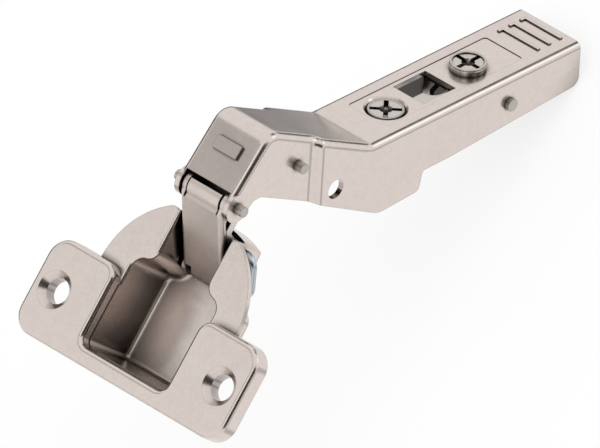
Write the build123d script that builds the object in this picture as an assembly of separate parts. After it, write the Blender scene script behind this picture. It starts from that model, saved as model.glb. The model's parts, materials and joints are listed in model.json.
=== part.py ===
from build123d import *
from math import atan2, cos, degrees, hypot, radians, sin
import os

# Concealed cup hinge with an angled arm, shown fully open.
# Origin: centre of the 35 mm cup on the door face. +X runs from the cup to the door edge,
# +Z out of the door face. Widths along Y are given as half widths from the XZ plane.

# Cup flange
screw_spacing = 45.0
screw_row_x = -9.5
screw_hole_r = 2.6
countersink_r = 3.9
plate_length = 56.4
plate_back_x = -19.7
plate_front_x = 0.5
plate_top = 4.0
plate_corner_r = 4.5
plate_notch_r = 3.0
plate_sheet = 1.1
plate_edge_r = 1.0
disc_r = 18.4
disc_sheet = 1.2
disc_relief = 0.1
disc_tip_r = 1.5

# Cup pocket
bore_r = 17.5
bore_gap = 0.1
cup_sheet = 0.9
pocket_draft = 4.0
pocket_half = 12.5
pocket_back_x = -17.0
pocket_front_x = 4.7
pocket_corner_r = 3.0
pocket_floor = -11.8
pocket_floor_front = -10.3
floor_crease_x = 1.5
floor_crease_r = 10.0
floor_edge_r = 1.5
floor_inner_edge_r = 1.1
neck_half = 7.95
neck_start_x = 6.0
shoulder_r = 3.4
throat_r = 2.2
neck_wall_top = -4.4
mouth_r = 0.7

# Linkage pivots in the XZ plane, open position
cup_outer_pivot = (7.5, -7.8)
cup_inner_pivot = (14.3, -3.0)
arm_outer_pivot = (21.8, 4.6)
arm_inner_pivot = (34.2, -6.2)
outer_link_turn = 126.0

# Pins and their running clearance
axle_r = 1.15
axle_bend_r = 1.9
axle_bridge_y = -10.4
axle_far_y = 8.6
pin_r = 1.1
pin_stub = 1.9
pin_clearance = 0.05
press_gap = 0.01

# Outer link, a strap folded from sheet
link_sheet = 1.0
link_side_gap = 0.35
eye_half = 5.75
link_lip = 1.3
link_step_at_arm = 3.1
hood_inset = 1.4
hood_r = 2.45
hood_end_angle = 68.0
eye_notch = 1.5
link_ear_r = 2.3

# Inner link, a narrow arched channel
inner_inset = 0.1
inner_sheet = 1.1
inner_eye_r = 1.8
inner_top = 1.9
inner_bottom = 0.15
inner_lip_gap = 0.25
door_edge_x = 23.5
slot_gap = 0.12
slot_wall = 1.25

# Arm, folded from sheet
arm_sheet = 1.2
arm_fold_r = 1.5
arm_front_half = 7.15
arm_step_out = 1.5
front_slope = -4.67
mid_slope = -78.56
rear_slope = -52.27
first_bend = (37.8, 6.2)
mid_length = 30.1
rear_length = 57.4
web_bend_r = 4.0
front_web_end_x = 23.9
ear_drop = 0.15
joggle_start = -15.6
joggle_length = 1.45
joggle_extra_r = 0.4
side_hole = (33.15, -18.99)
side_hole_r = 2.05

# Rear web: screws, window and grip ribs, as distances along it from the second bend
screw_y = -0.45
side_screw_s = 11.7
window_start = 18.3
window_end = 27.2
window_half = 4.15
depth_screw_s = 34.3
panel_start = 6.8
panel_end = 44.8
panel_half = 5.15
panel_corner_r = 0.8
panel_depth = 0.15
ribs = 3
rib_pitch = 3.1
rib_end_gap = 1.9
rib_half = 5.1
rib_width = 0.7
rib_height = 0.3
rib_return = 1.3
bump_start = 5.2
bump_end = 8.0
bump_half = 3.2
bump_height = 0.6

# Adjusting screws
screw_head_r = 3.72
side_screw_gap = 0.08
side_screw_sunk = 0.15
side_hole_bevel = 0.6
screw_neck_r = 2.2
collar_r = 3.4
collar_height = 1.4
head_proud = 1.3
head_edge_r = 0.25
spiral_r = 4.2
spiral_disc = 0.8
cross_width = 0.95
cross_length = 6.9
cross_depth = 0.8
cross_pit_r = 1.35
cross_pit_depth = 1.9
side_cross_angle = 43.0
depth_cross_angle = 0.0

# Clip insert, a channel that slides along the rear arm
insert_sheet = 1.1
insert_gap = 0.2
insert_start = 6.2
insert_wall_end = 29.0
insert_end = 41.0
insert_depth = 9.0
insert_travel_out = 2.0
insert_travel_in = 3.0
insert_tongue_y = 0.2
insert_tongue_end = 25.3
insert_cut_end = 28.0
insert_slot_gap = 0.15

# Release lever
lever_pivot_s = 37.9
lever_pivot_depth = 5.9
lever_pin_r = 1.3
lever_half = 5.7
lever_sheet = 1.2
lever_start = 30.5
lever_end = 56.0

# A length past the whole part, for cuts
past = 90.0

# Springs
closing_wire = 0.9
lever_wire = 0.7
spring_play = 0.15
spring_half = 4.0
spring_turns = 6


def unit(angle):
    return (cos(radians(angle)), sin(radians(angle)))


def along(point, angle, distance):
    u = unit(angle)
    return (point[0] + distance * u[0], point[1] + distance * u[1])


def gap_between(a, b):
    return hypot(b[0] - a[0], b[1] - a[1])


def heading(a, b):
    return degrees(atan2(b[1] - a[1], b[0] - a[0]))


def turned(point, centre, angle):
    dx = point[0] - centre[0]
    dz = point[1] - centre[1]
    c, s = unit(angle)
    return (centre[0] + c * dx - s * dz, centre[1] + s * dx + c * dz)


def crossing(point_a, angle_a, point_b, angle_b):
    """Where two lines in the XZ plane meet."""
    ua = unit(angle_a)
    ub = unit(angle_b)
    dx = point_b[0] - point_a[0]
    dz = point_b[1] - point_a[1]
    t = (dx * ub[1] - dz * ub[0]) / (ua[0] * ub[1] - ua[1] * ub[0])
    return (point_a[0] + t * ua[0], point_a[1] + t * ua[1])


# Arm frame: s runs along the rear web from the second bend, depth below its outer face.
second_bend = along(first_bend, mid_slope, mid_length)
rear_out = rear_slope + 90
front_out = front_slope + 90


def rear(s, depth):
    return along(along(second_bend, rear_slope, s), rear_out, -depth)


def rounded(face, x, y, radius):
    """A face with the corner nearest a place rounded."""
    spot = Vector(x, y, 0)
    return fillet(min(face.vertices(), key=lambda v: (Vector(v) - spot).length), radius)


def tilted_plane(corner, slope):
    """A plane through a corner in the XZ plane: its x runs along the slope, its z outwards."""
    ux, uz = unit(slope)
    return Plane(origin=(corner[0], 0, corner[1]), x_dir=(ux, 0, uz), z_dir=(-uz, 0, ux))


def rear_plane():
    return tilted_plane(second_bend, rear_slope)


# Half widths that follow from the arm's
arm_rear_half = arm_front_half + arm_step_out
link_half = arm_front_half - arm_sheet - link_side_gap
inner_half = link_half - inner_inset
hood_half = link_half - hood_inset
joggle_end = joggle_start + joggle_length
joggle_r = arm_fold_r + joggle_extra_r

# Strap line of the outer link: one sheet over the axle at the cup, stepped over the arm's pin.
link_eye_r = axle_r + pin_clearance + link_sheet
pivot_gap = gap_between(cup_outer_pivot, arm_outer_pivot)
strap_slope = heading(cup_outer_pivot, arm_outer_pivot)
strap_slope += degrees(atan2(link_step_at_arm - link_eye_r, pivot_gap))
strap_out = strap_slope + 90
strap_foot = along(cup_outer_pivot, strap_out, link_eye_r)


def strap(distance, depth):
    """A point along the strap from the cup pivot, at a depth under its outer face."""
    return along(along(strap_foot, strap_slope, distance), strap_out, -depth)


def side_profile(points, rounds=()):
    """A closed outline in the XZ plane with some corners rounded."""
    face = make_face(Polyline(*points, close=True))
    for corner, radius in rounds:
        face = rounded(face, corner[0], corner[1], radius)
    return Plane.XZ * face


def slab(profile, half, centre_y=0.0):
    return Pos(0, centre_y, 0) * extrude(profile, amount=half, both=True)


def rod(point, radius, y0, y1):
    """A round bar along Y between two places."""
    plane = Plane(origin=(point[0], y0, point[1]), x_dir=(1, 0, 0), z_dir=(0, 1, 0))
    return plane * Cylinder(radius, y1 - y0, align=(Align.CENTER, Align.CENTER, Align.MIN))


def box_on(plane, x0, x1, y0, y1, z0, z1):
    """A block between two corners in a plane's own axes."""
    centre = Pos((x0 + x1) / 2, (y0 + y1) / 2, (z0 + z1) / 2)
    return plane * centre * Box(x1 - x0, y1 - y0, z1 - z0)


def drum(plane, x, y, radius, z0, z1):
    """A round boss standing on a plane."""
    return plane * Pos(x, y, z0) * Cylinder(radius, z1 - z0, align=(Align.CENTER, Align.CENTER, Align.MIN))


def both_sides(shape):
    return shape + mirror(shape, about=Plane.XZ)


# Cup
def pocket_plan(wall):
    """Outline of the pocket at the plate's top, drawn in by a wall thickness."""
    half = pocket_half - wall
    neck = neck_half - wall
    back = pocket_back_x + wall
    shoulder = pocket_front_x - wall
    throat = neck_start_x - wall
    points = [(back, half), (shoulder, half), (throat, neck), (bore_r + 3, neck)]
    points += [(x, -y) for x, y in reversed(points)]
    face = make_face(Polyline(*points, close=True))
    rounds = [((back, half), pocket_corner_r - wall), ((shoulder, half), shoulder_r - wall / 2)]
    rounds += [((throat, neck), throat_r + wall / 2)]
    for (x, y), radius in rounds:
        for side in (1, -1):
            face = rounded(face, x, side * y, radius)
    return face


def floor_height(x, wall):
    """Height of the pocket's floor, level at the back and rising from a crease to the front."""
    rise = (pocket_floor_front - pocket_floor) / (bore_r - floor_crease_x)
    return pocket_floor + wall + rise * max(0.0, x - floor_crease_x)


def is_floor_rim(edge, wall):
    """Whether an edge runs round the floor of the pocket, and not across it."""
    spots = [edge @ 0, edge @ 0.5, edge @ 1]
    if any(abs(p.Z - floor_height(p.X, wall)) > 0.12 for p in spots):
        return False
    return abs(spots[0].X - spots[2].X) > 0.05 or abs(spots[0].X) > floor_crease_x + 1


def pocket_body(wall, edge_r):
    """The pocket as a drafted solid with a creased floor and a rounded floor rim."""
    plan = Pos(0, 0, plate_top) * pocket_plan(wall)
    body = extrude(plan, amount=plate_top - pocket_floor + 1, dir=(0, 0, -1), taper=pocket_draft)
    round_end = Cylinder(bore_r - bore_gap - wall, past)
    round_end += Box(past, past, past, align=(Align.MAX, Align.CENTER, Align.CENTER))
    crease = (floor_crease_x, floor_height(floor_crease_x, wall))
    back = (-past, crease[1])
    front = (past, floor_height(past, wall))
    floor = side_profile([back, crease, front, (past, past), (-past, past)], [(crease, floor_crease_r)])
    body &= round_end
    body &= slab(floor, past)
    return fillet([e for e in body.edges() if is_floor_rim(e, wall)], edge_r)


def pocket_hole():
    """The pocket's hollow, carried up through the plate and the disc."""
    above = Pos(0, 0, plate_top) * extrude(pocket_plan(cup_sheet), amount=plate_top)
    return pocket_body(cup_sheet, floor_inner_edge_r) + above


def plate_plan(inset):
    """Outline of the raised plate, open at the front where the pocket comes through it."""
    width = plate_front_x - plate_back_x - 2 * inset
    plan = RectangleRounded(width, plate_length - 2 * inset, plate_corner_r - inset)
    return Pos((plate_back_x + plate_front_x) / 2, 0) * plan


def raised_plate():
    """The screw plate pressed up from the disc, with rounded edges round the pocket too."""
    opening = pocket_half - cup_sheet
    plan = plate_plan(0.0) - pocket_plan(cup_sheet)
    for side in (1, -1):
        plan = rounded(plan, plate_front_x, side * opening, plate_notch_r)
    plate = extrude(plan, amount=plate_top)
    plate = fillet(plate.edges().group_by(Axis.Z)[-1], plate_edge_r)
    hollow = plate_plan(plate_sheet) - pocket_plan(0.0)
    return plate - extrude(hollow, amount=plate_top - plate_sheet)


def disc():
    """The thin disc round the front of the pocket, just clear of the door so the plate seats first."""
    plan = Circle(disc_r) - plate_plan(plate_sheet) - pocket_plan(cup_sheet)
    tip = neck_half - cup_sheet
    tip_x = (disc_r ** 2 - tip ** 2) ** 0.5
    for side in (1, -1):
        plan = rounded(plan, tip_x, side * tip, disc_tip_r)
    return Pos(0, 0, disc_relief) * extrude(plan, amount=disc_sheet - disc_relief)


def mouth_cutter():
    """The pocket's hollow blended into the space over the disc, in front of the raised plate."""
    plan = Pos(0, 0, plate_top) * pocket_plan(cup_sheet)
    hollow = extrude(plan, amount=2 * plate_top, dir=(0, 0, -1), taper=pocket_draft)
    block = Box(past, past, past, align=(Align.CENTER, Align.CENTER, Align.MIN))
    hollow += Pos(0, 0, disc_sheet) * block
    rim = []
    for edge in hollow.edges():
        mid = edge @ 0.5
        if abs(mid.Z - disc_sheet) < 0.01 and hypot(mid.X, mid.Y) < 2 * bore_r:
            rim.append(edge)
    front = Box(past, past, past, align=(Align.MIN, Align.CENTER, Align.CENTER))
    return fillet(rim, mouth_r) & Pos(plate_front_x - plate_notch_r, 0, 0) * front


def cup_shell():
    under_disc = Box(past, past, past, align=(Align.CENTER, Align.CENTER, Align.MAX))
    walls = pocket_body(0.0, floor_edge_r) & Pos(0, 0, disc_sheet) * under_disc
    shell = disc() + walls - mouth_cutter()
    shell += raised_plate()
    shell -= pocket_hole()
    mouth = Pos(bore_r - 3, 0, neck_wall_top)
    neck = 2 * (neck_half - 2 * cup_sheet)
    shell -= mouth * Box(8, neck, 20, align=(Align.MIN, Align.CENTER, Align.MIN))
    for y in (-screw_spacing / 2, screw_spacing / 2):
        shell += drum(Plane.XY, screw_row_x, y, countersink_r + plate_sheet, 0, plate_top - plate_sheet / 2)
        shell -= drum(Plane.XY, screw_row_x, y, screw_hole_r, -1, plate_top + 1)
        sink = countersink_r - screw_hole_r
        cone = Cone(screw_hole_r, countersink_r, sink, align=(Align.CENTER, Align.CENTER, Align.MAX))
        shell -= Pos(screw_row_x, y, plate_top) * cone
    for pivot in (cup_outer_pivot, cup_inner_pivot):
        shell -= rod(pivot, axle_r + press_gap, -neck_half - 1, neck_half + 1)
    return shell


def cup_axle():
    """One U-shaped wire: two legs through the neck walls, joined outside them."""
    legs = [(p[0], axle_far_y, p[1]) for p in (cup_outer_pivot, cup_inner_pivot)]
    corners = [(p[0], axle_bridge_y, p[1]) for p in (cup_outer_pivot, cup_inner_pivot)]
    path = FilletPolyline(legs[0], corners[0], corners[1], legs[1], radius=axle_bend_r)
    start = Plane(origin=legs[0], z_dir=(0, -1, 0))
    return sweep(start * Circle(axle_r), path=path)


# Linkage in motion, used for the slot at the pivot that is left open
def closed_turns():
    """Turns of the inner link and the arm when the outer link has made its whole turn."""
    inner_length = gap_between(cup_inner_pivot, arm_inner_pivot)
    coupler = gap_between(arm_outer_pivot, arm_inner_pivot)
    outer_end = turned(arm_outer_pivot, cup_outer_pivot, outer_link_turn)
    span = gap_between(outer_end, cup_inner_pivot)
    reach = (coupler ** 2 - inner_length ** 2 + span ** 2) / (2 * span)
    rise = (coupler ** 2 - reach ** 2) ** 0.5
    base = heading(outer_end, cup_inner_pivot)
    inner_end = along(along(outer_end, base, reach), base + 90, rise)
    inner_turn = heading(cup_inner_pivot, inner_end) - heading(cup_inner_pivot, arm_inner_pivot)
    arm_turn = heading(outer_end, inner_end) - heading(arm_outer_pivot, arm_inner_pivot)
    return inner_turn % 360, arm_turn % 360


def pin_path_in_link(steps=16):
    """Places of the arm's inner pin, seen from the inner link, while the hinge closes."""
    inner_turn, arm_turn = closed_turns()
    places = []
    for k in range(steps + 1):
        share = k / steps
        pin = turned(arm_inner_pivot, arm_outer_pivot, share * (arm_turn - outer_link_turn))
        pin = turned(pin, cup_outer_pivot, share * outer_link_turn)
        places.append(turned(pin, cup_inner_pivot, -share * inner_turn))
    return places


def path_outline(places, radius):
    """Everything within a radius of a line of places, as a face in the XZ plane."""
    blob = None
    for a, b in zip(places, places[1:]):
        if gap_between(a, b) < 0.02:
            continue
        piece = Pos(*a) * Circle(radius) + Pos(*b) * Circle(radius)
        side = heading(a, b) + 90
        corners = [along(a, side, radius), along(b, side, radius)]
        corners += [along(b, side, -radius), along(a, side, -radius)]
        piece += make_face(Polyline(*corners, close=True))
        blob = piece if blob is None else blob + piece
    return blob


def outer_link():
    a = cup_outer_pivot
    c = arm_outer_pivot
    step_in = link_step_at_arm - hood_r
    end = pivot_gap - 1.2
    outline = [strap(0, 0), strap(end, 0), strap(end + 0.6, step_in), strap(pivot_gap, step_in)]
    outline += [strap(pivot_gap, step_in + link_sheet), strap(end + 0.6, step_in + link_sheet)]
    outline += [strap(end, link_sheet), strap(0, link_sheet)]
    web = slab(side_profile(outline), hood_half)
    flat = [strap(0, 0), strap(end, 0), strap(end, link_sheet), strap(0, link_sheet)]
    web += slab(side_profile(flat), link_half)
    hood = rod(c, hood_r, -hood_half, hood_half) - rod(c, hood_r - link_sheet, -hood_half, hood_half)
    fan = (strap_out, (strap_out + hood_end_angle) / 2, hood_end_angle)
    keep = [c] + [along(c, angle, 8) for angle in fan]
    web += hood & slab(side_profile(keep), hood_half)
    eye = rod(a, link_eye_r, -eye_half, eye_half)
    lips = [strap(0, 0), strap(end, 0), strap(end, link_lip), strap(0, link_lip)]
    ear = [strap(end - 2.5, 0), strap(end, 0), along(c, strap_out, link_ear_r), c, strap(end - 2.5, link_lip)]
    side = slab(side_profile(lips), link_sheet / 2, link_half - link_sheet / 2)
    side += slab(side_profile(ear), link_sheet / 2, link_half - link_sheet / 2)
    side += rod(c, link_ear_r, link_half - link_sheet, link_half)
    link = web + both_sides(side)
    fold = link.edges().filter_by(lambda e: abs(abs(e.center().Y) - link_half) < 0.01 and e.length > 10)
    fold = [e for e in fold if abs((e.center().X - strap_foot[0]) * unit(strap_out)[0]
                                   + (e.center().Z - strap_foot[1]) * unit(strap_out)[1]) < 0.05]
    link = fillet(fold, link_sheet)
    link += eye
    link -= rod(a, axle_r + pin_clearance, -eye_half - 1, eye_half + 1)
    link -= rod(c, pin_r + pin_clearance, -link_half - 1, link_half + 1)
    notch = [along(a, 100, 1.4), along(a, 100, 6), along(a, 215, 6), along(a, 215, 1.4)]
    for y in (-1, 1):
        centre = y * (link_half - link_sheet - eye_notch / 2)
        link -= slab(side_profile(notch), eye_notch / 2, centre)
    return link


def fork_opening():
    """Where the slot's far end is cut open, so the link stays clear of the arm's web."""
    x, z = arm_inner_pivot
    left = [(x + 1.8, z + 14), (x + 1.1, z + 3.6), (x - 0.6, z - 2.6), (x - 0.6, z - 6)]
    return left + [(x + 11, z - 6), (x + 11, z + 14)]


def inner_link():
    b = cup_inner_pivot
    d = arm_inner_pivot
    gap = link_lip + inner_lip_gap
    top_start = along(b, strap_out, inner_eye_r)
    top_bend = crossing(strap(0, gap), strap_slope, (0, inner_top), 0)
    path = pin_path_in_link()
    blob_r = pin_r + slot_gap + slot_wall
    left = min(p[0] for p in path)
    high = max(p[1] for p in path)
    outline = [top_start, top_bend, (door_edge_x + 1.5, inner_top), (left, high + blob_r)]
    outline += [d, (d[0] - 1.0, d[1] - blob_r), (left - 1.0, d[1] - 1.0)]
    outline += [(door_edge_x, inner_bottom), (b[0] + inner_eye_r + 0.6, inner_bottom)]
    outline += [along(b, -60, inner_eye_r)]
    face = make_face(Polyline(*outline, close=True))
    face += Pos(*b) * Circle(inner_eye_r)
    face += path_outline(path, blob_r)
    face -= path_outline(path, pin_r + slot_gap)
    face -= make_face(Polyline(*fork_opening(), close=True))
    face -= Pos(*b) * Circle(axle_r + pin_clearance)
    flank = slab(Plane.XZ * face, inner_sheet / 2, inner_half - inner_sheet / 2)
    span = [(top_bend[0] + 0.6, inner_top), (door_edge_x + 1.5, inner_top)]
    span += [(door_edge_x + 1.5, inner_top - inner_sheet), (top_bend[0] + 0.6, inner_top - inner_sheet)]
    return both_sides(flank) + slab(side_profile(span), inner_half - inner_sheet / 2)


# Arm
def arm_plan(inset):
    """Half widths of the arm against distance along the rear web."""
    front = arm_front_half - inset
    back = arm_rear_half - inset
    points = [(-past, front), (joggle_start, front), (joggle_end, back), (past, back)]
    points += [(x, -y) for x, y in reversed(points)]
    face = make_face(Polyline(*points, close=True))
    for x, y in ((joggle_start, front), (joggle_end, back)):
        for side in (1, -1):
            face = rounded(face, x, side * y, joggle_r)
    return extrude(rear_plane() * face, amount=past, both=True)


def web_corners(inset):
    """The two bends of the web, drawn in by a sheet thickness."""
    front_line = along(first_bend, front_out, -inset)
    mid_line = along(first_bend, mid_slope + 90, -inset)
    rear_line = along(second_bend, rear_out, -inset)
    one = crossing(front_line, front_slope, mid_line, mid_slope)
    two = crossing(mid_line, mid_slope, rear_line, rear_slope)
    return one, two


def arm_ear():
    """Centre and radius of the rounded ears around the outer link's pin."""
    centre = (arm_outer_pivot[0], arm_outer_pivot[1] - ear_drop)
    top = crossing(first_bend, front_slope, centre, front_out)
    return centre, gap_between(centre, top), top


def arm_outer_body():
    centre, ear_r, top = arm_ear()
    heel = rear(2.4, 16.5)
    toe = rear(13.6, 15.9)
    step = rear(14.4, 11.7)
    points = [top, first_bend, second_bend, rear(rear_length, 0), rear(rear_length, 9.4), rear(22, 11.6)]
    points += [step, toe, heel, (28.5, -14.1), (25.7, -0.4), (24.3, 1.1), (22.3, 1.5), centre]
    rounds = [(first_bend, web_bend_r), (second_bend, web_bend_r), (rear(rear_length, 9.4), 2.0)]
    rounds += [(step, 0.9), (toe, 1.4), (heel, 6.0), ((25.7, -0.4), 2.0), ((28.5, -14.1), 20.0)]
    body = slab(side_profile(points, rounds), arm_rear_half + 1) & arm_plan(0.0)
    body = fillet(fold_edges(body), arm_fold_r)
    return body + rod(centre, ear_r, -arm_front_half, arm_front_half)


def arm_hollow():
    one, two = web_corners(arm_sheet)
    start = crossing((10, 0), 90, one, front_slope)
    past_end = rear_length + 12
    points = [start, one, two, rear(past_end, arm_sheet), rear(past_end, 40), (0, -60), (10, -5)]
    inner_r = web_bend_r - arm_sheet
    profile = side_profile(points, [(one, inner_r), (two, inner_r)])
    return slab(profile, arm_rear_half + 1) & arm_plan(arm_sheet)


def fold_edges(body):
    """Outer edges where the web turns down into the side walls."""
    picked = []
    for edge in body.edges():
        mid = edge @ 0.5
        ends = [edge @ 0, edge @ 1]
        if abs(mid.Y) < arm_front_half - 0.6 or min(p.X for p in ends) < arm_outer_pivot[0] + 0.01:
            continue
        if all(on_web(p) for p in ends + [mid]):
            picked.append(edge)
    return picked


def on_web(point):
    """Whether a point lies on the web's outer face, bends included."""
    away = []
    for corner, out in ((first_bend, front_out), (first_bend, mid_slope + 90), (second_bend, rear_out)):
        u = unit(out)
        away.append((point.X - corner[0]) * u[0] + (point.Z - corner[1]) * u[1])
    return -0.9 < min(max(away[0], away[1]), away[2]) < 0.15


def hinge_arm():
    arm = arm_outer_body() - arm_hollow()
    inner_front = arm_front_half - arm_sheet
    past_web = Box(20, 2 * inner_front, 40, align=(Align.MAX, Align.CENTER, Align.CENTER))
    arm -= Pos(front_web_end_x, 0, 0) * past_web
    wall = arm_rear_half + 1
    arm -= rod(arm_outer_pivot, pin_r + press_gap, -wall, wall)
    arm -= rod(arm_inner_pivot, pin_r + press_gap, -wall, wall)
    arm -= rod(rear(lever_pivot_s, lever_pivot_depth), lever_pin_r + press_gap, -wall, wall)
    arm -= rod(side_hole, side_hole_r, -wall, wall)
    web = rear_plane()
    panel = RectangleRounded(panel_end - panel_start, 2 * panel_half, panel_corner_r)
    arm -= web * Pos((panel_start + panel_end) / 2, 0, -panel_depth) * extrude(panel, amount=panel_depth)
    hole_r = screw_head_r + side_screw_gap
    arm -= drum(web, side_screw_s, screw_y, hole_r, -3, 1)
    bevel = Cone(hole_r, hole_r + side_hole_bevel, side_hole_bevel,
                 align=(Align.CENTER, Align.CENTER, Align.MAX))
    arm -= web * Pos(side_screw_s, screw_y, -panel_depth) * bevel
    arm -= drum(web, depth_screw_s, screw_y, screw_neck_r + side_screw_gap, -3, 1)
    arm -= box_on(web, window_start, window_end, -window_half, window_half, -3, 1)
    for k in range(ribs):
        s = rear_length - rib_end_gap - rib_pitch * k
        arm += box_on(web, s - rib_width / 2, s + rib_width / 2, -rib_half, rib_half, -0.3, rib_height)
        arm += box_on(web, s - rib_return, s, rib_half - rib_width, rib_half, -0.3, rib_height)
    front = tilted_plane(first_bend, front_slope)
    return arm + box_on(front, -bump_end, -bump_start, -bump_half, bump_half, -0.3, bump_height)


def arm_pin(point, half):
    return rod(point, pin_r, -half - pin_stub, half + pin_stub)


# Screws and insert
def insert_under():
    """Height of the insert's inner face under the rear web."""
    return -arm_sheet - 2 * insert_gap - insert_sheet


def cross_recess(s, top, angle):
    """A cross-shaped recess in a screw head, with a pit in its middle."""
    spot = rear_plane() * Pos(s, screw_y, top) * Rot(0, 0, angle)
    bar = Box(cross_length, cross_width, 2 * cross_depth)
    pit = Cone(cross_pit_r / 2, cross_pit_r, cross_pit_depth, align=(Align.CENTER, Align.CENTER, Align.MAX))
    return spot * (bar + Rot(0, 0, 90) * bar + pit)


def screw_head(s, bottom, top):
    """A round head with its top edge rounded."""
    head = Cylinder(screw_head_r, top - bottom, align=(Align.CENTER, Align.CENTER, Align.MIN))
    head = fillet(head.edges().group_by(Axis.Z)[-1], head_edge_r)
    return rear_plane() * Pos(s, screw_y, bottom) * head


def side_adjusting_screw():
    web = rear_plane()
    under = insert_under()
    top = -panel_depth - side_screw_sunk
    screw = screw_head(side_screw_s, -arm_sheet, top)
    screw += drum(web, side_screw_s, screw_y, screw_neck_r, under, -arm_sheet)
    screw += drum(web, side_screw_s, screw_y, collar_r, under - collar_height, under)
    return screw - cross_recess(side_screw_s, top, side_cross_angle)


def depth_adjusting_screw():
    web = rear_plane()
    under = insert_under()
    top = head_proud - panel_depth
    screw = screw_head(depth_screw_s, press_gap - panel_depth, top)
    screw += drum(web, depth_screw_s, screw_y, screw_neck_r, under, 0)
    screw += drum(web, depth_screw_s, screw_y, spiral_r, under - spiral_disc, under)
    return screw - cross_recess(depth_screw_s, top, depth_cross_angle)


def clip_insert():
    web = rear_plane()
    top = -arm_sheet - insert_gap
    half = arm_rear_half - arm_sheet - insert_gap
    shell = box_on(web, insert_start, insert_end, -half, half, top - insert_sheet, top)
    for y in (-1, 1):
        y0, y1 = sorted((y * half, y * (half - insert_sheet)))
        shell += box_on(web, insert_start, insert_wall_end, y0, y1, -insert_depth, top)
    slot = screw_neck_r + insert_slot_gap
    deep = -insert_depth
    for s in (side_screw_s, depth_screw_s):
        shell -= box_on(web, s - insert_travel_in - slot, s + insert_travel_out + slot,
                        screw_y - slot, screw_y + slot, deep, 0)
    cut_r = insert_cut_end - insert_tongue_end
    shell -= box_on(web, window_start - 0.6, insert_cut_end, insert_tongue_y, half - insert_sheet, deep, 0)
    return shell - drum(web, insert_tongue_end, insert_tongue_y, cut_r, deep, 0)


def lever_pin():
    half = arm_rear_half
    return rod(rear(lever_pivot_s, lever_pivot_depth), lever_pin_r, -half - 1, half + 1)


def release_lever():
    pivot = rear(lever_pivot_s, lever_pivot_depth)
    hook = [rear(lever_start, 6.5), rear(lever_start, 9.2), rear(lever_start + 3, 9.2)]
    points = hook + [rear(lever_start + 4, 8.0), rear(lever_end - 5, 8.6), rear(lever_end, 8.6)]
    points += [rear(lever_end, 5.6), rear(lever_end - 6, 5.2)]
    points += [rear(lever_pivot_s + 2, 3.6), rear(lever_pivot_s - 2, 3.9)]
    flank = slab(side_profile(points), lever_sheet / 2, lever_half - lever_sheet / 2)
    plate = [rear(lever_end - 7, 7.4), rear(lever_end - 7, 8.6), rear(lever_end, 8.6), rear(lever_end, 7.4)]
    lever = both_sides(flank) + slab(side_profile(plate), lever_half - lever_sheet / 2)
    return lever - rod(pivot, lever_pin_r + pin_clearance, -lever_half - 1, lever_half + 1)


def coil(point, around_r, wire):
    """A torsion spring wound from round wire about a pin."""
    height = 2 * spring_half - wire
    helix = Helix(pitch=height / spring_turns, height=height, radius=around_r + spring_play + wire / 2)
    start = Plane(origin=helix @ 0, z_dir=helix % 0)
    wound = sweep(start * Circle(wire / 2), path=helix, is_frenet=True)
    place = Plane(origin=(point[0], -height / 2, point[1]), x_dir=(1, 0, 0), z_dir=(0, 1, 0))
    return place * wound


def closing_spring():
    return coil(arm_inner_pivot, pin_r, closing_wire)


def lever_spring():
    return coil(rear(lever_pivot_s, lever_pivot_depth), lever_pin_r, lever_wire)


nodes = {
    "cup_shell": cup_shell,
    "cup_axle": cup_axle,
    "outer_link": outer_link,
    "inner_link": inner_link,
    "hinge_arm": hinge_arm,
    "outer_link_pin": lambda: arm_pin(arm_outer_pivot, arm_front_half),
    "inner_link_pin": lambda: arm_pin(arm_inner_pivot, arm_front_half),
    "closing_spring": closing_spring,
    "clip_insert": clip_insert,
    "side_adjusting_screw": side_adjusting_screw,
    "depth_adjusting_screw": depth_adjusting_screw,
    "release_lever": release_lever,
    "lever_pin": lever_pin,
    "lever_spring": lever_spring,
}

os.makedirs("parts", exist_ok=True)
for name, make in nodes.items():
    export_step(make(), f"parts/{name}.step")
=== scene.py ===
import json
import math

import bpy
from mathutils import Matrix, Vector


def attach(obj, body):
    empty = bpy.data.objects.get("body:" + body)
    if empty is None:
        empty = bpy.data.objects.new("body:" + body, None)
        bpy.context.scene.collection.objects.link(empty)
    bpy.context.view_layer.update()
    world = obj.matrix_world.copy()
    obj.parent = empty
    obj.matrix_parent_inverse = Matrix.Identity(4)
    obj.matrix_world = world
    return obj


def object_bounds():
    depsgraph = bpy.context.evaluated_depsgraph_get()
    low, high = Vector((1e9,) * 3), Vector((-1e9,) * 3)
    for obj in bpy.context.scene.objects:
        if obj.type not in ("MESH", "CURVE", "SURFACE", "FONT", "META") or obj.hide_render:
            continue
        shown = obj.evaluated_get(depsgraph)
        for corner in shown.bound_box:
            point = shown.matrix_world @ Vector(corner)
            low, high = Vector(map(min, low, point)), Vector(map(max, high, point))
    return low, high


# Concealed cup hinge, fully open, seen from the photograph's angle.
# Lengths are metres in the part's own frame: X from the cup to the arm, Z out of the door.

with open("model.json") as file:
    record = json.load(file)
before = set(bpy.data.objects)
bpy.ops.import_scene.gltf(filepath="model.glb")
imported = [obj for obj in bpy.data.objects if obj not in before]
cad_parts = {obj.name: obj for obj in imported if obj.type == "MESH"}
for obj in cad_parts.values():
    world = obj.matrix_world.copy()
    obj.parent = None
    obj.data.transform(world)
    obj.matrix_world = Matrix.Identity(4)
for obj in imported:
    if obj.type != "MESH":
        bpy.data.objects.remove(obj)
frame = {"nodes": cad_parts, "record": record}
cad_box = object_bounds()
nodes = frame["nodes"]
joints = {joint["child"]: joint for joint in frame["record"]["behaviour"]["joints"]}
scene = bpy.context.scene

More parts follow.
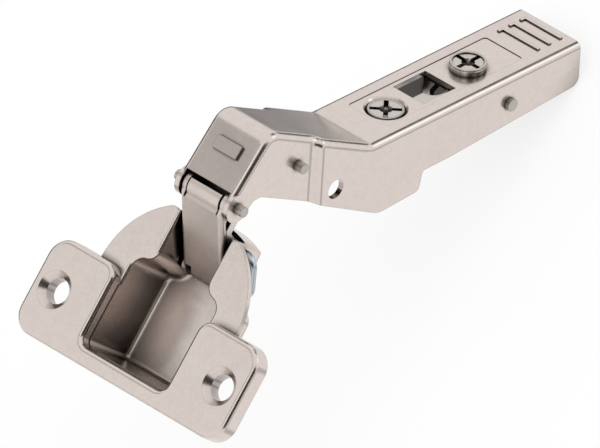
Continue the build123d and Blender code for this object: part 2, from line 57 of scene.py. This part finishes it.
# Camera, turned round the point at the picture's centre
VIEW_AZIMUTH = math.radians(4.835)
VIEW_ELEVATION = math.radians(54.602)
VIEW_ROLL = math.radians(-65.817)
VIEW_CENTRE = Vector((0.02524, -0.02130, 0.00389))
VIEW_DISTANCE = 3.9
VIEW_HALF_WIDTH = 0.05743
VIEW_CLIP = (0.05, 10.0)
SENSOR_WIDTH = 36.0

# Colours, as linear light
WARM_NICKEL = (0.69, 0.615, 0.57)
ZINC = (0.50, 0.55, 0.585)
PIN_GREY = (0.46, 0.435, 0.41)
SPRING_GREY = (0.24, 0.235, 0.23)
INSERT_FLAT = (0.60, 0.55, 0.515)
# The insert's walls: painted shade, far darker than its plating
INSERT_WALL_SHADE = (0.07, 0.063, 0.058)
SCREW_NICKEL = (0.60, 0.555, 0.52)
FLOOR_GREY = (0.80, 0.80, 0.80)
WHITE = (1.0, 1.0, 1.0)

# How rough each metal's surface is
NICKEL_ROUGH = 0.22
LINK_ROUGH = 0.40
SCREW_ROUGH = 0.24
ZINC_ROUGH = 0.24
INSERT_ROUGH = 0.25
PIN_ROUGH = 0.28
WIRE_ROUGH = 0.35

# Size and depth of the metals' grain, and the patches and blotches that cloud them
FINE_GRAIN = 0.0002
NICKEL_GRAIN = 0.00022
ZINC_GRAIN = 0.0003
GRAIN_HEIGHT = 0.000002
PATCH_SCALE = 180.0
BLOTCH_SCALE = 650.0
BLOTCH_SHARE = 0.3
DARKEST, PALEST = 0.89, 1.075
POLISH_SPREAD = 0.12

# How far the painted shade of hollow places reaches, how dark it gets, and the openness at which it starts
# and ends
BODY_HOLLOW_SHADE = (0.014, 0.12, 0.22, 0.78)
LINK_HOLLOW_SHADE = (0.014, 0.08, 0.15, 0.8)
SCREW_HOLLOW_SHADE = (0.0016, 0.15, 0.35, 0.85)
INSERT_HOLLOW_SHADE = (0.012, 0.3, 0.1, 0.6)
PIN_HOLLOW_SHADE = (0.002, 0.15, 0.2, 0.8)
# Painted shade in narrow creases: how far it reaches, how dark it gets on the body and on the links, and
# the openness at which it starts and ends
CREASE_REACH = 0.0022
CREASE_SHADE_TONE = 0.45
LINK_CREASE_SHADE_TONE = 0.8
CREASE_START, CREASE_END = 0.45, 0.85
# Tone of the painted shade along the folds, and how much paler the worn edges get
FOLD_SHADE_TONE = 0.62
WEAR = 0.1
WORN_TONE = 1.3

# Light of the world on matt surfaces
WORLD_LIGHT = 0.8

# Floor, whose straight edge lies just outside the picture's top
FLOOR_GAP = 0.001
FLOOR_GLOW = 0.75
FLOOR_FAR = 0.7
FLOOR_HALF = 1.5
FLOOR_EDGE = 0.0795
FLOOR_EDGE_TURN = (0.9067, 0.4218)

# Grey card over the arm's front web
CARD_PLACE = (0.083, 0.21, 0.30)
CARD_SIZE = (0.125, 0.30)
CARD_TONE = 0.55

# Soft key light, in watts
KEY_PLACE = (0.5, -0.3, 0.9)
KEY_SIZE = (0.8, 0.8)
KEY_POWER = 4.0

# Outward direction of the arm's rear web, which both screws turn about
REAR_OUT = Vector(joints["side_screw"]["axis"])

# Rim of the screw heads, and how far it sinks into them
HEAD_RADIUS = 0.00372
RIM_INSET = 0.00006
RIM_WIDTH = 0.00048
RIM_ROUND = 0.00010
RIM_CUT = 0.3 * RIM_ROUND
RIM_SLOPE = 0.00012
RIM_SUNK = 0.00004
RIM_STEPS = 96
RIM_HEIGHTS = {"side_screw": 0.00010, "depth_screw": 0.00034}

# Widths of the worn edges and of the painted shade along the folds
EDGE_RADIUS = 0.00012
FOLD_SHADE_RADIUS = 0.00045

# How well a rounded normal agrees with the true one, from a sharp edge to a flat face
SHARP_TO_FLAT = (0.75, 0.98)

# How squarely the side walls' bends face sideways where their painted dark line comes in and goes out
BEND_IN = (0.925, 0.96)
BEND_OUT = (0.985, 0.998)

# How squarely the insert faces out of the rear web, from its walls with their painted shade to its flat
WALL_TO_FLAT = (0.8, 0.95)

# What only the metal mirrors of the studio: direction, inner and outer angle in degrees, and tone
MIRRORED = [
    ((0.02, 0.02, 1.0), 3, 11, 0.15),
    ((0.02, -0.37, 0.93), 4, 11, 1.5),
    ((0.0, -0.82, 0.57), 16, 26, 0.03),
    ((0.0, -0.98, 0.08), 14, 26, 0.08),
    ((-0.84, 0.51, -0.17), 9, 18, 0.06),
    ((-0.1, 0.99, 0.0), 13, 24, 0.05),
    ((0.98, -0.04, -0.08), 8, 17, 0.04),
    ((0.80, -0.57, -0.16), 5, 14, 1.8),
    ((0.72, 0.22, -0.66), 7, 15, 0.10),
    ((0.25, 0.80, -0.55), 10, 28.5, 0.03),
]


class Graph:
    """Short calls for building a material's nodes."""

    def __init__(self, name):
        self.material = bpy.data.materials.new(name)
        self.material.use_nodes = True
        self.tree = self.material.node_tree
        self.tree.nodes.clear()

    def add(self, kind, **values):
        node = self.tree.nodes.new(kind)
        for key, value in values.items():
            setattr(node, key, value)
        return node

    def link(self, source, target):
        self.tree.links.new(source, target)

    def noise(self, scale, detail, roughness=0.5):
        """Noise in the object's own coordinates, with a scale in repeats per metre."""
        place = self.add("ShaderNodeTexCoord")
        texture = self.add("ShaderNodeTexNoise")
        texture.inputs["Scale"].default_value = scale
        texture.inputs["Detail"].default_value = detail
        texture.inputs["Roughness"].default_value = roughness
        self.link(place.outputs["Object"], texture.inputs["Vector"])
        return texture.outputs["Fac"]

    def spread(self, source, low, high, start=0.3, end=0.7):
        """A value stretched from one range to another."""
        node = self.add("ShaderNodeMapRange")
        node.inputs["From Min"].default_value = start
        node.inputs["From Max"].default_value = end
        node.inputs["To Min"].default_value = low
        node.inputs["To Max"].default_value = high
        self.link(source, node.inputs["Value"])
        return node.outputs["Result"]

    def edges(self, radius):
        """Near 1 at sharp edges and 0 on flat faces."""
        bevel = self.add("ShaderNodeBevel", samples=4)
        bevel.inputs["Radius"].default_value = radius
        geometry = self.add("ShaderNodeNewGeometry")
        dot = self.add("ShaderNodeVectorMath", operation="DOT_PRODUCT")
        self.link(bevel.outputs["Normal"], dot.inputs[0])
        self.link(geometry.outputs["Normal"], dot.inputs[1])
        return self.spread(dot.outputs["Value"], 1.0, 0.0, *SHARP_TO_FLAT)

    def hollow_shade(self, distance, low, deep, open_at):
        """Painted shade: 1 in the open, falling to a low value deep in hollow places and gaps."""
        crowded = self.add("ShaderNodeAmbientOcclusion", samples=12)
        crowded.inputs["Distance"].default_value = distance
        return self.spread(crowded.outputs["AO"], low, 1.0, deep, open_at)

    def facing(self, direction):
        """How squarely the surface faces a direction of the part, from 0 to 1, front or back."""
        place = self.add("ShaderNodeTexCoord")
        dot = self.add("ShaderNodeVectorMath", operation="DOT_PRODUCT")
        self.link(place.outputs["Normal"], dot.inputs[0])
        dot.inputs[1].default_value = direction
        size = self.add("ShaderNodeMath", operation="ABSOLUTE")
        self.link(dot.outputs["Value"], size.inputs[0])
        return size.outputs["Value"]

    def bend_shade_line(self):
        """Near 1 along the start of each bend of the side walls, where a line of shade is painted."""
        sideways = self.facing((0, 1, 0))
        start = self.spread(sideways, 0.0, 1.0, *BEND_IN)
        end = self.spread(sideways, 1.0, 0.0, *BEND_OUT)
        return self.combine("MULTIPLY", start, end)

    def combine(self, operation, one, other):
        """One value joined to another."""
        node = self.add("ShaderNodeMath", operation=operation)
        self.link(one, node.inputs[0])
        self.link(other, node.inputs[1])
        return node.outputs["Value"]

    def blend(self, factor, one, other):
        """One shader turning into another."""
        node = self.add("ShaderNodeMixShader")
        self.link(factor, node.inputs["Fac"])
        self.link(one, node.inputs[1])
        self.link(other, node.inputs[2])
        return node.outputs["Shader"]

    def shade(self, colour, factor, dark, light):
        """A colour made darker and lighter by a value from 0 to 1."""
        ramp = self.add("ShaderNodeMix", data_type="RGBA")
        ramp.inputs["A"].default_value = [c * dark for c in colour] + [1]
        ramp.inputs["B"].default_value = [min(1.0, c * light) for c in colour] + [1]
        self.link(factor, ramp.inputs["Factor"])
        return ramp.outputs["Result"]


def plate_tone(g, colour, grain, wall_shade_colour):
    """The plating's colour, speckled and clouded, with a painted shade colour on the walls of a channel."""
    speckle = g.spread(grain, 0.0, 1.0)
    blotches = g.spread(g.noise(BLOTCH_SCALE, detail=4.0, roughness=0.6), 0.0, 1.0)
    clouded = g.add("ShaderNodeMix", data_type="FLOAT")
    clouded.inputs["Factor"].default_value = BLOTCH_SHARE
    g.link(speckle, clouded.inputs["A"])
    g.link(blotches, clouded.inputs["B"])
    tone = g.shade(colour, clouded.outputs["Result"], DARKEST, PALEST)
    if wall_shade_colour is None:
        return tone
    # Painted shade on the walls, turning into the plating on the flat
    flat = g.add("ShaderNodeMix", data_type="RGBA")
    g.link(g.spread(g.facing(REAR_OUT), 0.0, 1.0, *WALL_TO_FLAT), flat.inputs["Factor"])
    flat.inputs["A"].default_value = (*wall_shade_colour, 1)
    g.link(tone, flat.inputs["B"])
    return flat.outputs["Result"]


def fold_shade_and_wear(g, tone, colour):
    """Painted shade along the folds, and paler at the rubbed edges."""
    fold_shaded = g.add("ShaderNodeMix", data_type="RGBA", blend_type="MULTIPLY")
    g.link(g.combine("MAXIMUM", g.edges(FOLD_SHADE_RADIUS), g.bend_shade_line()), fold_shaded.inputs["Factor"])
    g.link(tone, fold_shaded.inputs["A"])
    fold_shaded.inputs["B"].default_value = (FOLD_SHADE_TONE, FOLD_SHADE_TONE, FOLD_SHADE_TONE, 1)
    rubbed = g.add("ShaderNodeMix", data_type="RGBA")
    g.link(g.spread(g.edges(EDGE_RADIUS), 0.0, WEAR, 0.0, 1.0), rubbed.inputs["Factor"])
    g.link(fold_shaded.outputs["Result"], rubbed.inputs["A"])
    rubbed.inputs["B"].default_value = [min(1.0, c * WORN_TONE) for c in colour] + [1]
    return rubbed.outputs["Result"]


def metal(name, colour, roughness, grain_size, hollow_shade=BODY_HOLLOW_SHADE, crease_shade=CREASE_SHADE_TONE, wall_shade_colour=None):
    """Plated or turned metal: fine grain, slow patches in its polish, painted shade in hollow places,
    creases and along folds, and paler worn edges.
    """
    g = Graph(name)
    shader = g.add("ShaderNodeBsdfPrincipled")
    shader.inputs["Metallic"].default_value = 1.0
    grain = g.noise(1 / grain_size, detail=3.0, roughness=0.6)
    tone = fold_shade_and_wear(g, plate_tone(g, colour, grain, wall_shade_colour), colour)
    # Painted shade of hollow places and creases, multiplied into the colour
    shadowed = g.add("ShaderNodeMix", data_type="RGBA", blend_type="MULTIPLY")
    shadowed.inputs["Factor"].default_value = 1.0
    g.link(tone, shadowed.inputs["A"])
    crease_shade_factor = g.hollow_shade(CREASE_REACH, crease_shade, CREASE_START, CREASE_END)
    g.link(g.combine("MULTIPLY", g.hollow_shade(*hollow_shade), crease_shade_factor), shadowed.inputs["B"])
    g.link(shadowed.outputs["Result"], shader.inputs["Base Color"])
    patches = g.noise(PATCH_SCALE, detail=2.0)
    smooth, rough = roughness * (1 - POLISH_SPREAD), roughness * (1 + POLISH_SPREAD)
    g.link(g.spread(patches, smooth, rough), shader.inputs["Roughness"])
    bump = g.add("ShaderNodeBump")
    bump.inputs["Strength"].default_value = 1.0
    bump.inputs["Distance"].default_value = GRAIN_HEIGHT
    g.link(grain, bump.inputs["Height"])
    g.link(bump.outputs["Normal"], shader.inputs["Normal"])
    out = g.add("ShaderNodeOutputMaterial")
    g.link(shader.outputs["BSDF"], out.inputs["Surface"])
    return g.material


def paint_nodes():
    """Gives every CAD node its metal."""
    nickel = metal("satin_nickel", WARM_NICKEL, NICKEL_ROUGH, NICKEL_GRAIN)
    links = metal("link_nickel", WARM_NICKEL, LINK_ROUGH, NICKEL_GRAIN, LINK_HOLLOW_SHADE, LINK_CREASE_SHADE_TONE)
    screw = metal("screw_nickel", SCREW_NICKEL, SCREW_ROUGH, FINE_GRAIN, SCREW_HOLLOW_SHADE)
    zinc = metal("zinc_plate", ZINC, ZINC_ROUGH, ZINC_GRAIN)
    # The insert's plating, with painted shade on its walls
    inside = metal(
        "insert_nickel", INSERT_FLAT, INSERT_ROUGH, ZINC_GRAIN, INSERT_HOLLOW_SHADE, wall_shade_colour=INSERT_WALL_SHADE
    )
    turned = metal("turned_pin", PIN_GREY, PIN_ROUGH, FINE_GRAIN, PIN_HOLLOW_SHADE)
    wire = metal("spring_wire", SPRING_GREY, WIRE_ROUGH, FINE_GRAIN)
    looks = {
        nickel: ["cup_shell", "hinge_arm"],
        links: ["outer_link", "inner_link"],
        screw: ["side_adjusting_screw", "depth_adjusting_screw"],
        zinc: ["cup_axle"],
        inside: ["clip_insert", "release_lever"],
        turned: ["outer_link_pin", "inner_link_pin", "lever_pin"],
        wire: ["closing_spring", "lever_spring"],
    }
    for material, names in looks.items():
        for name in names:
            mesh = nodes[name].data
            mesh.materials.clear()
            mesh.materials.append(material)


def rim_profile(height):
    """Radius and height above the head, round the rim's cross-section."""
    outer = HEAD_RADIUS - RIM_INSET
    inner = outer - RIM_WIDTH
    soft, cut = RIM_ROUND, RIM_CUT
    outside = [(outer, -RIM_SUNK), (outer, height - soft), (outer - cut, height - cut)]
    crest = [(outer - soft, height), (inner + soft, height)]
    inside = [(inner + cut, height - cut), (inner, height - soft), (inner - RIM_SLOPE, -RIM_SUNK)]
    return outside + crest + inside


def screw_rim(node, body):
    """The raised rim round a screw's dished head, turned about the screw's axis."""
    centre = Vector(joints[body]["pos_m"])
    top = max((v.co - centre).dot(REAR_OUT) for v in nodes[node].data.vertices)
    profile = rim_profile(RIM_HEIGHTS[body])
    turn = REAR_OUT.to_track_quat("Z", "Y")
    points = []
    for k in range(RIM_STEPS):
        angle = 2 * math.pi * k / RIM_STEPS
        for radius, rise in profile:
            local = Vector((radius * math.cos(angle), radius * math.sin(angle), top + rise))
            points.append(centre + turn @ local)
    count = len(profile)
    faces = []
    for k in range(RIM_STEPS):
        here, there = k * count, (k + 1) % RIM_STEPS * count
        for i in range(count):
            j = (i + 1) % count
            faces.append((here + i, there + i, there + j, here + j))
    mesh = bpy.data.meshes.new(node + "_rim")
    mesh.from_pydata(points, [], faces)
    mesh.shade_smooth()
    rim = bpy.data.objects.new(node + "_rim", mesh)
    scene.collection.objects.link(rim)
    mesh.materials.append(nodes[node].data.materials[0])
    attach(rim, body)


def camera():
    """The photograph's view, almost without perspective."""
    data = bpy.data.cameras.new("photo_camera")
    data.sensor_width = SENSOR_WIDTH
    data.lens = SENSOR_WIDTH / 2 * VIEW_DISTANCE / VIEW_HALF_WIDTH
    data.clip_start, data.clip_end = VIEW_CLIP
    turn = Matrix.Rotation(VIEW_AZIMUTH, 4, "Z")
    turn @= Matrix.Rotation(math.pi / 2 - VIEW_ELEVATION, 4, "X")
    turn @= Matrix.Rotation(VIEW_ROLL, 4, "Z")
    back = Matrix.Translation((0, 0, VIEW_DISTANCE))
    photo_camera = bpy.data.objects.new("photo_camera", data)
    photo_camera.matrix_world = Matrix.Translation(VIEW_CENTRE) @ turn @ back
    scene.collection.objects.link(photo_camera)
    scene.camera = photo_camera


def area_light(name, place, size, power):
    """A soft lamp aimed at the picture's centre, which the metal doesn't mirror."""
    data = bpy.data.lights.new(name, "AREA")
    data.shape = "RECTANGLE"
    data.size, data.size_y = size
    data.energy = power
    light = bpy.data.objects.new(name, data)
    light.location = place
    light.rotation_mode = "QUATERNION"
    light.rotation_quaternion = (Vector(place) - VIEW_CENTRE).to_track_quat("Z", "Y")
    light.visible_glossy = False
    scene.collection.objects.link(light)


def light_path(g):
    """1 for the rays that the camera sends, and 1 for those that a mirror sends."""
    path = g.add("ShaderNodeLightPath")
    mirror = g.combine("MAXIMUM", path.outputs["Is Glossy Ray"], path.outputs["Is Transmission Ray"])
    return path.outputs["Is Camera Ray"], mirror


def staged_sheet(name, corners):
    """A flat sheet of the studio, with its own empty material."""
    mesh = bpy.data.meshes.new(name)
    mesh.from_pydata(corners, [], [(0, 1, 2, 3)])
    sheet = bpy.data.objects.new(name, mesh)
    scene.collection.objects.link(sheet)
    g = Graph(name)
    mesh.materials.append(g.material)
    return sheet, g


def studio_floor():
    """A pale floor under the arm's end, white where the camera or a mirror sees it."""
    low = cad_box[0].z - FLOOR_GAP
    across = Vector((*FLOOR_EDGE_TURN, 0))
    along = Vector((-across.y, across.x, 0))
    near, far = FLOOR_EDGE, -FLOOR_FAR
    reach = [(far, -FLOOR_HALF), (near, -FLOOR_HALF), (near, FLOOR_HALF), (far, FLOOR_HALF)]
    _, g = staged_sheet("floor", [across * a + along * b + Vector((0, 0, low)) for a, b in reach])
    from_camera, from_mirror = light_path(g)
    tone = g.add("ShaderNodeMix", data_type="RGBA")
    tone.inputs["A"].default_value = (*FLOOR_GREY, 1)
    tone.inputs["B"].default_value = (*WHITE, 1)
    g.link(g.combine("MAXIMUM", from_camera, from_mirror), tone.inputs["Factor"])
    paper = g.add("ShaderNodeBsdfDiffuse")
    g.link(tone.outputs["Result"], paper.inputs["Color"])
    glow = g.add("ShaderNodeEmission")
    glow.inputs["Color"].default_value = (*WHITE, 1)
    both = g.add("ShaderNodeMixShader")
    both.inputs["Fac"].default_value = FLOOR_GLOW
    g.link(paper.outputs["BSDF"], both.inputs[1])
    g.link(glow.outputs["Emission"], both.inputs[2])
    out = g.add("ShaderNodeOutputMaterial")
    g.link(both.outputs["Shader"], out.inputs["Surface"])


def card(name, centre, size, tone):
    """A grey card beside the picture, which the metal mirrors as a darker face."""
    x, y = size[0] / 2, size[1] / 2
    sheet, g = staged_sheet(name, [(-x, -y, 0), (x, -y, 0), (x, y, 0), (-x, y, 0)])
    turn = (Vector(centre) - VIEW_CENTRE).to_track_quat("Z", "Y").to_matrix().to_4x4()
    sheet.matrix_world = Matrix.Translation(Vector(centre)) @ turn
    sheet.visible_camera = False
    sheet.visible_diffuse = False
    sheet.visible_shadow = False
    glow = g.add("ShaderNodeEmission")
    glow.inputs["Color"].default_value = (tone, tone, tone, 1)
    out = g.add("ShaderNodeOutputMaterial")
    g.link(glow.outputs["Emission"], out.inputs["Surface"])


class WorldGraph(Graph):
    """The same short calls on a world's nodes."""

    def __init__(self, name):
        self.world = bpy.data.worlds.new(name)
        self.world.use_nodes = True
        self.tree = self.world.node_tree
        self.tree.nodes.clear()


def mirrored_tone(g):
    """White all round, darker or brighter in a few directions of the studio."""
    direction = g.add("ShaderNodeTexCoord").outputs["Generated"]
    tones = []
    for towards, inner, outer, tone in MIRRORED:
        dot = g.add("ShaderNodeVectorMath", operation="DOT_PRODUCT")
        g.link(direction, dot.inputs[0])
        dot.inputs[1].default_value = Vector(towards).normalized()
        near = g.add("ShaderNodeMapRange", interpolation_type="SMOOTHSTEP")
        near.inputs["From Min"].default_value = math.cos(math.radians(outer))
        near.inputs["From Max"].default_value = math.cos(math.radians(inner))
        near.inputs["To Min"].default_value = 1.0
        near.inputs["To Max"].default_value = tone
        g.link(dot.outputs["Value"], near.inputs["Value"])
        tones.append(near.outputs["Result"])
    product = tones[0]
    for tone in tones[1:]:
        product = g.combine("MULTIPLY", product, tone)
    return product


def studio_world():
    """Even pale light from all round, with the white background the camera sees."""
    g = WorldGraph("studio")
    scene.world = g.world
    from_camera, from_mirror = light_path(g)
    seen, lit, mirrored = [g.add("ShaderNodeBackground") for _ in range(3)]
    for background in (seen, lit, mirrored):
        background.inputs["Color"].default_value = (*WHITE, 1)
    lit.inputs["Strength"].default_value = WORLD_LIGHT
    g.link(mirrored_tone(g), mirrored.inputs["Strength"])
    light = g.blend(from_mirror, lit.outputs["Background"], mirrored.outputs["Background"])
    out = g.add("ShaderNodeOutputWorld")
    g.link(g.blend(from_camera, light, seen.outputs["Background"]), out.inputs["Surface"])


paint_nodes()
screw_rim("side_adjusting_screw", "side_screw")
screw_rim("depth_adjusting_screw", "depth_screw")
camera()
studio_floor()
studio_world()
card("card_over_front", CARD_PLACE, CARD_SIZE, CARD_TONE)
area_light("key", KEY_PLACE, KEY_SIZE, KEY_POWER)
scene.view_settings.view_transform = "Standard"
